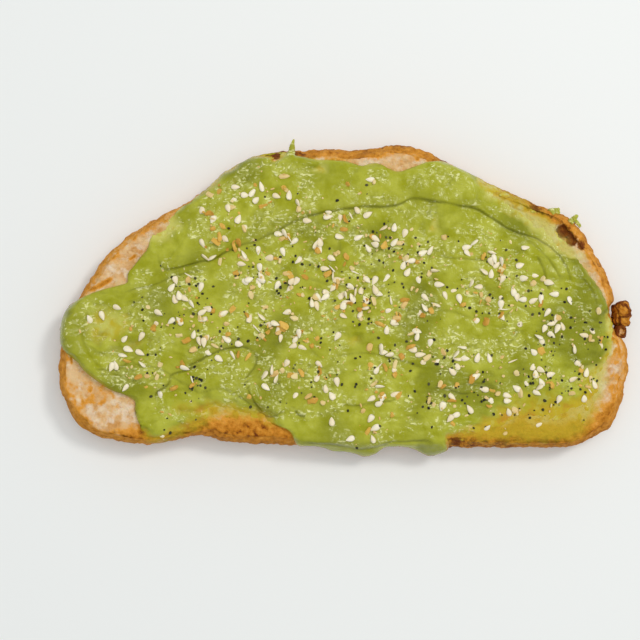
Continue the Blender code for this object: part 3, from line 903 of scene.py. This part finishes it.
# Clusters of toppings: middle, half length, half width, turn in degrees, and how many sesame seeds,
# poppy seeds, grains of garlic and flakes of onion fall there
CLUSTERS = (
    (-72, -8, 9, 4, 0, 4, 0, 1, 0), (-66, -18, 4, 5, -40, 5, 0, 0, 1), (-55, -22, 5, 4, 0, 3, 3, 3, 2),
    (-57, -4, 5, 5, -30, 4, 4, 1, 1), (-47, 5, 5, 6, 20, 5, 9, 1, 0), (-44, -5, 5, 5, 45, 7, 6, 4, 3),
    (-35, 29, 5, 5, 30, 3, 0, 2, 3), (-34, 17, 6, 6, 30, 6, 3, 4, 5), (-22, 32, 7, 6, 0, 6, 1, 2, 3),
    (-38, -12, 5, 5, 20, 7, 5, 4, 2), (-27, 9, 5, 5, 30, 8, 5, 2, 3), (-17, 17, 6, 5, 20, 9, 3, 1, 1),
    (-16, 4, 7, 5, -10, 9, 9, 5, 3), (-24, -7, 6, 5, 20, 7, 6, 4, 4), (-5, 24, 7, 4, 0, 8, 1, 1, 2),
    (-3, 8, 6, 6, 0, 8, 4, 3, 6), (4, 30, 8, 6, 0, 3, 1, 1, 1), (2, 0, 6, 5, 0, 8, 6, 1, 4),
    (12, 18, 6, 4, -20, 8, 6, 2, 2), (11, 8, 5, 5, 0, 6, 6, 0, 0), (8, -4, 6, 4, -15, 6, 3, 2, 2),
    (23, 14, 5, 5, 0, 6, 7, 1, 2), (27, 4, 6, 4, 0, 4, 2, 1, 0), (18, -4, 7, 5, 0, 3, 3, 2, 4),
    (-11, -12, 7, 5, 0, 6, 3, 1, 4), (-22, -24, 6, 5, 0, 5, 4, 2, 3), (-6, -25, 7, 6, 0, 4, 6, 3, 3),
    (-45, -24, 4, 4, 0, 1, 9, 0, 1), (-52, -34, 5, 6, 0, 2, 3, 0, 1), (12, -18, 6, 5, 0, 4, 6, 2, 4),
    (24, -14, 5, 3, -20, 6, 5, 1, 1), (33, -18, 4, 3, 30, 6, 4, 1, 0), (10, -28, 7, 5, 0, 6, 3, 2, 3),
    (5, -38, 6, 4, 0, 4, 1, 1, 1), (30, -30, 8, 5, 0, 4, 8, 3, 2), (43, 14, 8, 5, -20, 9, 3, 2, 1),
    (36, 1, 7, 4, -10, 8, 4, 1, 3), (50, 8, 6, 4, -30, 7, 2, 2, 2), (47, -2, 7, 5, 0, 5, 5, 1, 2),
    (62, 1, 8, 5, -20, 7, 5, 1, 1), (62, -10, 6, 5, 0, 7, 11, 1, 0), (74, -12, 4, 6, 0, 5, 9, 2, 1),
    (57, -22, 7, 6, 0, 9, 10, 3, 2), (71, -24, 6, 4, 0, 6, 10, 2, 2), (42, -25, 6, 6, 0, 6, 8, 2, 3),
    (60, -32, 9, 5, 0, 2, 9, 2, 0), (44, -35, 8, 4, 0, 3, 4, 1, 1),
)
SESAME, POPPY, GARLIC, ONION = range(4)
EDGE_ROOM = 1.8                     # toppings keep this far inside the spread's edge
SLOPE_STEP = 0.7                    # how far apart the heights lie that give the spread's slope
SMALL_POPPY = 0.42                  # the share of poppy seeds that are small
SPLINTERS, ON_EDGE, HALF_SUNK = 0.05, 0.14, 0.2     # shares of the sesame seeds


def scattered(kind, seed, spacing, times=1.0):
    """Where one kind of topping falls: normal draws about each cluster's middle, without those too
    near the spread's edge and those that would lie wholly on another of their kind."""
    rng = np.random.default_rng(seed)
    places = []
    for x, y, long, wide, turn, *counts in CLUSTERS:
        many = round(counts[kind] * times)
        draws = rng.normal(size=(many, 2)).clip(-2, 2) * (long * 0.75, wide * 0.75)
        c, s = np.cos(np.radians(turn)), np.sin(np.radians(turn))
        places.append(draws @ np.array([[c, s], [-s, c]]) + (x, y))
    places = np.vstack(places)
    places = places[inside_outline(*places.T, SPREAD_SHARES) > EDGE_ROOM]
    apart = np.hypot(*(places[:, None] - places[None]).transpose(2, 0, 1))
    hidden = (np.tril(apart < spacing, -1)).any(1)
    return places[~hidden]


def settled(places, body, piled=2.0, lift=0.5):
    """Height and slope of the spread at each place, raised where an earlier one already lies."""
    def top(east, north):
        return spread_shape(places[:, 0] + east, places[:, 1] + north, body)[2]

    step = SLOPE_STEP
    centre = top(0, 0)
    slope = np.stack([top(step, 0) - top(-step, 0), top(0, step) - top(0, -step)], 1) / (2 * step)
    slope = slope.clip(-0.8, 0.8)
    apart = np.hypot(*(places[:, None] - places[None]).transpose(2, 0, 1))
    over = np.minimum((np.tril(apart < piled, -1)).sum(1), 2)
    return centre + lift * over, slope


def turned(n, slope, heading, roll, pitch):
    """Rotation matrices: roll about the length, pitch up from the ground, the heading, and then
    the tilt of the ground under each."""
    def about(axis, angle):
        matrix = np.zeros((n, 3, 3))
        i, j = [k for k in range(3) if k != axis]
        sign = -1 if axis == 1 else 1
        matrix[:, axis, axis] = 1
        matrix[:, i, i] = matrix[:, j, j] = np.cos(angle)
        matrix[:, i, j], matrix[:, j, i] = -sign * np.sin(angle), sign * np.sin(angle)
        return matrix

    up = np.stack([-slope[:, 0], -slope[:, 1], np.ones(n)], 1)
    up /= np.linalg.norm(up, axis=1, keepdims=True)
    side = np.stack([up[:, 2], np.zeros(n), -up[:, 0]], 1)
    side /= np.linalg.norm(side, axis=1, keepdims=True)
    ground = np.stack([side, np.cross(up, side), up], 2)
    return ground @ about(2, heading) @ about(1, pitch) @ about(0, roll)


def bead(around, along, power=1.0):
    """A closed unit bead of poles and rings: angle b from pole to pole and a round it, with
    x = -cos b, y = cos a sin b, z = sin a sin b; a power under 1 makes it boxier."""
    b = np.linspace(0, np.pi, along + 1)[1:-1]
    a = np.arange(around) * 2 * np.pi / around
    x = np.repeat(-np.cos(b), around)
    ring = np.sin(b)[:, None] ** power
    y = (ring * np.sign(np.cos(a)) * np.abs(np.cos(a)) ** power).ravel()
    z = (ring * np.sign(np.sin(a)) * np.abs(np.sin(a)) ** power).ravel()
    points = np.vstack([[-1, 0, 0], np.stack([x, y, z], 1), [1, 0, 0]])
    loops = 1 + np.arange(around * (along - 1)).reshape(along - 1, around)
    faces = between_rings(loops)[:, ::-1].tolist()
    start, end = loops[0], loops[-1]
    faces += np.stack([np.zeros(around, int), np.roll(start, -1), start], 1).tolist()
    faces += np.stack([end, np.roll(end, -1), np.full(around, len(points) - 1)], 1).tolist()
    return points, [face[::-1] for face in faces]


def strewn(name, unit, dimensions, places, heights, matrices, material, tint, smooth=True):
    """One mesh of many beads: each unit bead is sized, turned and put in its place."""
    points, faces = unit
    shapes = points if points.ndim == 3 else points[None]
    moved = (shapes * dimensions[:, None, :] / 2) @ matrices.transpose(0, 2, 1)
    moved += np.column_stack([places, heights])[:, None, :]
    per = points.shape[-2]
    every = [[corner + i * per for corner in face] for i in range(len(places)) for face in faces]
    values = {"tint": np.repeat(tint, per)}
    mesh_piece(name, moved.reshape(-1, 3), every, material, values=values, smooth=smooth)


def build_sesame(sizes, colours):
    """Hulled sesame: teardrops whose half width is sqrt(1 - x^2) (1 - x)^0.45, flat on both faces.
    Some lie on edge, some are half sunk, and a few are splinters. An oily hull gives them a
    satin sheen."""
    rng = np.random.default_rng(101)
    places = scattered(SESAME, 102, 1.2, 1.2)
    n = len(places)
    points, faces = bead(10, 8)
    x = points[:, 0]
    taper = (1 - x).clip(0) ** 0.45
    points[:, 1:] *= (taper / np.max(np.sqrt(1 - x**2) * taper))[:, None]
    length = sizes.sesame_length / MM
    big = np.stack([rng.normal(1.0, 0.07, n), rng.normal(0.6, 0.05, n), rng.normal(0.29, 0.03, n)], 1)
    big *= length
    splinter = rng.random(n) < SPLINTERS
    big[splinter] *= (1.1, 0.28, 0.6)
    on_edge = rng.random(n) < ON_EDGE
    sunk = rng.random(n) < HALF_SUNK
    heights, slope = settled(places, sizes.body / MM)
    roll = np.where(on_edge, rng.uniform(0.9, 1.5, n), rng.normal(0, 0.22, n))
    matrices = turned(n, slope, rng.uniform(0, 2 * np.pi, n), roll, rng.normal(0, 0.12, n))
    heights = heights + np.where(on_edge, 0.4, 0.2) - np.where(sunk, 0.45, 0)
    material = seed_material("hulled_sesame", colours.sesame, 0.42, colours.sesame_dark, 0.35, 0.03)
    strewn(
        "sesame_seeds", (points, faces), big, places, heights, matrices, material,
        rng.beta(1.2, 3.0, n)
    )


def build_poppy(sizes, colours):
    """Poppy seed: small kidneys whose x gives their length, bent so that z loses 0.22 (1 - x^2).
    A pitted, dusty skin leaves them almost without shine."""
    rng = np.random.default_rng(111)
    places = scattered(POPPY, 112, 0.5, 2.0)
    n = len(places)
    points, faces = bead(8, 6)
    points[:, 2] -= 0.22 * (1 - points[:, 0] ** 2)
    width = sizes.poppy_width / MM
    big = np.where(rng.random((n, 1)) < SMALL_POPPY, 0.6, rng.normal(1, 0.1, (n, 1)))
    big = width * big * (1.15, 0.92, 0.9)
    heights, slope = settled(places, sizes.body / MM, piled=0.9, lift=0.3)
    heights = heights + 0.14 - np.where(rng.random(n) < 0.35, 0.28, 0)
    heading, roll = rng.uniform(0, 2 * np.pi, n), rng.uniform(0, 6.28, n)
    matrices = turned(n, slope, heading, roll, rng.normal(0, 0.5, n))
    material = seed_material("blue_poppy_seed", colours.poppy, 0.75, colours.poppy_pale, 0.25, 0.04, 0.0)
    strewn(
        "poppy_seeds", (points, faces), big, places, heights, matrices, material,
        rng.random(n) ** 2
    )


def chips(rng, n, whole, bead_form, jitter, length, spans, crumb_span):
    """n uneven chips: unit beads with every vertex pulled in or out at random. Gives their points,
    their faces and their sizes, which are drawn from spans of the length; those after the first
    whole ones are crumbs, smaller again by a share from crumb_span."""
    points, faces = bead(*bead_form)
    uneven = rng.uniform(1 - jitter, 1 + jitter, (n, len(points), 1))
    big = length * np.stack([rng.uniform(*span, n) for span in spans], 1)
    big[whole:] *= rng.uniform(*crumb_span, (n - whole, 1))
    return points[None] * uneven, faces, big


def build_garlic(sizes, colours):
    """Granulated dried garlic: small angular chips with flat broken faces, and crumbs of it
    wherever the sesame lies. It is dry and chalky, so it hardly shines."""
    rng = np.random.default_rng(121)
    grains, crumbs = scattered(GARLIC, 122, 1.2), scattered(SESAME, 123, 0.5, 1.6)
    places = np.vstack([grains, crumbs])
    n = len(places)
    spans = (0.6, 1.3), (0.4, 0.9), (0.3, 0.5)
    length = sizes.garlic_length / MM
    *unit, big = chips(rng, n, len(grains), (6, 4, 0.7), 0.24, length, spans, (0.2, 0.55))
    heights, slope = settled(places, sizes.body / MM)
    heights = heights + 0.18 * big[:, 2] - np.where(rng.random(n) < 0.25, 0.2, 0)
    matrices = turned(n, slope, rng.uniform(0, 2 * np.pi, n), rng.normal(0, 0.35, n), rng.normal(0, 0.2, n))
    material = seed_material("dried_garlic_grain", colours.garlic, 0.6, colours.garlic_dark, 0.5, 0.08)
    strewn(
        "garlic_grains", unit, big, places, heights, matrices, material,
        rng.random(n), smooth=False
    )


def build_onion(sizes, colours):
    """Dried onion: thin flakes that curl along their length by a random k, so that z gains
    k (x^2 - 0.4), and crumbs of them. Sugar that has browned gives them a slight gloss."""
    rng = np.random.default_rng(131)
    flakes, crumbs = scattered(ONION, 132, 1.2), scattered(ONION, 133, 0.5, 1.2)
    places = np.vstack([flakes, crumbs])
    n = len(places)
    spans = (0.6, 1.4), (0.45, 0.9), (0.2, 0.36)
    length = sizes.onion_length / MM
    points, faces, big = chips(rng, n, len(flakes), (8, 5, 0.75), 0.28, length, spans, (0.25, 0.55))
    points[:, :, 2] += rng.normal(0, 1.0, (n, 1)) * (points[:, :, 0] ** 2 - 0.4)
    heights, slope = settled(places, sizes.body / MM)
    heights = heights + 0.15 * big[:, 0] - np.where(rng.random(n) < 0.3, 0.25, 0)
    matrices = turned(n, slope, rng.uniform(0, 2 * np.pi, n), rng.normal(0, 0.35, n), rng.normal(0, 0.2, n))
    material = seed_material("toasted_onion_flake", colours.onion, 0.45, colours.onion_dark, 0.5, 0.06)
    strewn(
        "onion_flakes", (points, faces), big, places, heights, matrices, material,
        rng.random(n) ** 1.5, smooth=False
    )


# ---------------------------------------------------------------- torn crust and wisps

# Lumps of the torn flap: middle, size, turn in radians, and how hollow and how toasted the top is
TORN = (
    ((83.7, -2.5, 10.0), (3.6, 4.6, 4.6), 0.35, 0.3, 0.6),
    ((84.0, -5.3, 9.6), (3.4, 4.2, 4.4), -0.25, 0.4, 0.62),
    ((82.6, -4.2, 8.6), (3.6, 6.4, 5.0), 0.1, 0.2, 0.7),
    ((82.7, -9.2, 10.2), (3.2, 3.6, 4.2), -0.3, 1.6, 0.12),
)


def build_flap(colours):
    """The torn flap of crust at the right-hand end: boxy beads pressed together, roughened by noise
    and dented on top; the lowest one is hollow and pale inside."""
    points, faces = bead(36, 24, 0.4)
    outward = points / np.linalg.norm(points, axis=1, keepdims=True)
    every, tints, chars, both = [], [], [], []
    for centre, big, turn, dent, toasted in TORN:
        c, s = np.cos(turn), np.sin(turn)
        shape = (points * np.array(big) / 2) @ np.array([[c, s, 0], [-s, c, 0], [0, 0, 1]])
        place = shape + np.array(centre)
        ridge = 0.45 - np.abs(noise(place, 2.2, 61))
        place = place + outward * (1.1 * ridge + 0.4 * (0.45 - np.abs(noise(place, 0.9, 62))) - 0.15)[:, None]
        middle = np.exp(-((np.hypot(points[:, 0], points[:, 1]) / 0.6) ** 4)) * (points[:, 2] > 0.2)
        place[:, 2] -= dent * middle
        both += [[corner + len(every) * len(points) for corner in face] for face in faces]
        every.append(place)
        tints.append(np.clip(toasted * middle + 0.8 * (1 - middle) + 0.2 * noise(place, 1.3, 63), 0, 1))
        chars.append(np.clip((1.1 - toasted) * (1 - middle) + 0.9 * smoothed(0.2, 0.45, ridge) - 0.15, 0, 1))
    values = {"toast": np.concatenate(tints), "char": np.concatenate(chars)}
    values["smear"] = np.zeros(len(values["char"]))
    mesh_piece(
        "torn_crust", np.vstack(every), both, toasted_bread(colours), (BREAD,), values
    )


# How the wisps narrow: the power of the share that is left of their length
SPIKE, TUFT = 0.6, 0.3

# Wisps of avocado on the crust: each path's places and height over the crust, its half width at the
# root, and how it narrows
WISPS = (
    (((-16.4, 42.0, 0.5), (-16.1, 44.0, 1.2), (-15.8, 46.0, 3.5), (-15.3, 48.0, 5.2)), 1.5, SPIKE),
    (((-17.6, 43.4, 0.4), (-16.6, 44.6, 0.6), (-15.9, 45.8, 2.0)), 0.6, TUFT),
    (((61.4, 26.4, 0.2), (63.0, 27.0, 0.4), (64.6, 26.4, 0.2)), 1.3, TUFT),
    (((63.4, 26.8, 0.2), (64.0, 27.4, 0.5), (64.3, 27.9, 0.7)), 0.7, TUFT),
    (((67.4, 23.6, 0.2), (68.6, 24.4, 0.4), (69.6, 24.2, 0.3)), 1.0, TUFT),
    (((68.6, 24.6, 0.2), (69.4, 25.4, 0.7), (69.6, 26.0, 1.0)), 0.8, TUFT),
    (((69.4, 24.0, 0.2), (70.3, 23.0, 0.3), (70.8, 22.2, 0.2)), 0.7, TUFT),
)


def crust_top(x, y):
    """Height of the slice's upper surface: level inside the top face's edge, and along the crust's
    profile outside it."""
    inside = inside_outline(x, y, BREAD_SHARES)
    share = (np.clip(inside, 0, TOP_INSET) / TOP_INSET) ** 0.25
    return SLICE_TOP * (WIDEST_SHARE + (1 - WIDEST_SHARE) * share)


def tapered(path, wide, taper, sides=12):
    """A closed, roughened tube along a path whose half width is wide (1 - 0.97 t)^taper at t."""
    line = smooth_line(path, 5)
    line[:, 2] += np.maximum(crust_top(line[:, 0], line[:, 1]), SLICE_TOP * 0.72)
    along = np.linspace(0, 1, len(line))
    forward = np.gradient(line, axis=0)
    forward /= np.linalg.norm(forward, axis=1, keepdims=True)
    across = np.cross(forward, (0, 0, 1.0))
    across /= np.linalg.norm(across, axis=1, keepdims=True)
    up = np.cross(across, forward)
    a = np.arange(sides) * 2 * np.pi / sides
    half = wide * (1 - 0.97 * along) ** taper
    ring = across[:, None] * np.cos(a)[None, :, None] + up[:, None] * 0.7 * np.sin(a)[None, :, None]
    points = (line[:, None] + ring * half[:, None, None]).reshape(-1, 3)
    points += 0.15 * wide * noise(points, 1.0, 71)[:, None]
    loops = np.arange(len(points)).reshape(len(line), sides)
    faces = between_rings(loops).tolist()
    faces += [loops[0][::-1].tolist(), loops[-1].tolist()]
    return points, faces


def build_wisps(colours):
    """Wisps that the knife pulled out over the crust: tapering tubes, each closed at both ends."""
    points, faces = [], []
    for path, wide, taper in WISPS:
        some, sides = tapered(path, wide, taper)
        first = sum(map(len, points))
        faces += [[corner + first for corner in face] for face in sides]
        points.append(some)
    points = np.vstack(points)
    levels = {"thin": 0.35, "shaded_crease": 0, "deep": 0, "under": 0.1, "froth": 0.7}
    values = {key: np.full(len(points), level) for key, level in levels.items()}
    material = bpy.data.materials.get("mashed_avocado_flesh") or mashed_avocado(colours)
    mesh_piece("avocado_wisps", points, faces, material, values=values)


# ---------------------------------------------------------------- stage


TABLE_REACH = 1.6                   # metres from the middle of the table to its edge
ROOM_TINT, ROOM_LIGHT = (0.93, 0.97, 1.0, 1), 0.52
EYE = (-7.5, -5.7)                  # where the camera stands over the toast
LENS = 80.0                         # the camera's focal length on a 36 mm frame

# Lights: name, place in metres, width in metres, power in watts and tint
LIGHTS = (
    ("window", (0.55, 0.42, 1.05), 0.22, 4.3, (1.0, 0.98, 0.95)),
    ("ceiling", (0.1, 0.15, 1.3), 1.0, 5.2, (1.0, 1.0, 1.0)),
)


def area_light(name, place, wide, power, tint):
    """A square area light that faces the toast."""
    light = bpy.data.lights.new(name, "AREA")
    light.size, light.energy, light.color = wide, power, tint
    lamp = bpy.data.objects.new(name, light)
    bpy.context.scene.collection.objects.link(lamp)
    lamp.location = place
    lamp.rotation_euler = (-Vector(place)).to_track_quat("-Z", "Y").to_euler()
    lamp.visible_glossy = name != "ceiling"


def build_stage(sizes, colours):
    """A pale table, soft light from all round with more from the upper right, and a camera that
    looks straight down. The ceiling's light gives no reflections."""
    scene = bpy.context.scene
    mesh = bpy.data.meshes.new("table_top")
    corners = [(x * TABLE_REACH, y * TABLE_REACH, 0) for x, y in ((-1, -1), (1, -1), (1, 1), (-1, 1))]
    mesh.from_pydata(corners, [], [(0, 1, 2, 3)])
    # A matt laminate: even and pale, and rough enough to show shadows and no reflections
    material, _tree, shader = new_material("matt_laminate")
    set_sockets(shader, {"Base Color": (*colours.floor, 1), "Roughness": 0.6})
    mesh.materials.append(material)
    table = bpy.data.objects.new("table_top", mesh)
    scene.collection.objects.link(table)
    world = bpy.data.worlds.new("soft_room")
    world.use_nodes = True
    set_sockets(world.node_tree.nodes["Background"], {"Color": ROOM_TINT, "Strength": ROOM_LIGHT})
    scene.world = world
    for light in LIGHTS:
        area_light(*light)
    camera = bpy.data.cameras.new("camera")
    camera.lens, camera.sensor_width = LENS, 36.0
    eye = bpy.data.objects.new("camera", camera)
    scene.collection.objects.link(eye)
    eye.location = (EYE[0] * MM, EYE[1] * MM, sizes.camera_height)
    scene.camera = eye
    scene.view_settings.view_transform = "Standard"


# ---------------------------------------------------------------- the add-on


class TOAST_OT_stage(bpy.types.Operator):
    """Add the table, the lights and the camera"""
    bl_idname = "toast.stage"
    bl_label = "Stage"

    def execute(self, context):
        build_stage(context.scene.toast_sizes, context.scene.toast_colours)
        return {"FINISHED"}


class TOAST_OT_bread(bpy.types.Operator):
    """Add the toasted slice of bread"""
    bl_idname = "toast.bread"
    bl_label = "Bread"

    def execute(self, context):
        build_bread(context.scene.toast_sizes, context.scene.toast_colours)
        return {"FINISHED"}


class TOAST_OT_torn_crust(bpy.types.Operator):
    """Add the torn flap of crust at the right-hand end"""
    bl_idname = "toast.torn_crust"
    bl_label = "Torn Crust"

    def execute(self, context):
        build_flap(context.scene.toast_colours)
        return {"FINISHED"}


class TOAST_OT_avocado(bpy.types.Operator):
    """Add the mashed avocado and its wisps"""
    bl_idname = "toast.avocado"
    bl_label = "Avocado"

    def execute(self, context):
        sizes, colours = context.scene.toast_sizes, context.scene.toast_colours
        build_avocado(sizes, colours)
        build_wisps(colours)
        return {"FINISHED"}


class TOAST_OT_seeds(bpy.types.Operator):
    """Strew the sesame and poppy seeds"""
    bl_idname = "toast.seeds"
    bl_label = "Seeds"

    def execute(self, context):
        sizes, colours = context.scene.toast_sizes, context.scene.toast_colours
        build_sesame(sizes, colours)
        build_poppy(sizes, colours)
        return {"FINISHED"}


class TOAST_OT_flakes(bpy.types.Operator):
    """Strew the dried garlic and onion"""
    bl_idname = "toast.flakes"
    bl_label = "Garlic and Onion"

    def execute(self, context):
        sizes, colours = context.scene.toast_sizes, context.scene.toast_colours
        build_garlic(sizes, colours)
        build_onion(sizes, colours)
        return {"FINISHED"}


class TOAST_PT_panel(bpy.types.Panel):
    """Lists the toast's sizes, colours and pieces"""
    bl_idname = "TOAST_PT_panel"
    bl_label = "Avocado Toast"
    bl_space_type = "VIEW_3D"
    bl_region_type = "UI"
    bl_category = "Toast"

    def draw(self, context):
        for group in (context.scene.toast_sizes, context.scene.toast_colours):
            for key in group.bl_rna.properties.keys():
                if key not in ("name", "rna_type"):
                    self.layout.prop(group, key)
        for operator in OPERATORS:
            self.layout.operator(operator.bl_idname)


OPERATORS = (
    TOAST_OT_stage, TOAST_OT_bread, TOAST_OT_torn_crust, TOAST_OT_avocado, TOAST_OT_seeds, TOAST_OT_flakes,
)
CLASSES = (ToastSizes, ToastColours, *OPERATORS, TOAST_PT_panel)


def register():
    for cls in CLASSES:
        bpy.utils.register_class(cls)
    bpy.types.Scene.toast_sizes = bpy.props.PointerProperty(type=ToastSizes)
    bpy.types.Scene.toast_colours = bpy.props.PointerProperty(type=ToastColours)


def unregister():
    del bpy.types.Scene.toast_colours
    del bpy.types.Scene.toast_sizes
    for cls in reversed(CLASSES):
        bpy.utils.unregister_class(cls)


def main():
    register()
    for operator in OPERATORS:
        group, name = operator.bl_idname.split(".")
        getattr(getattr(bpy.ops, group), name)()


if __name__ == "__main__":
    main()
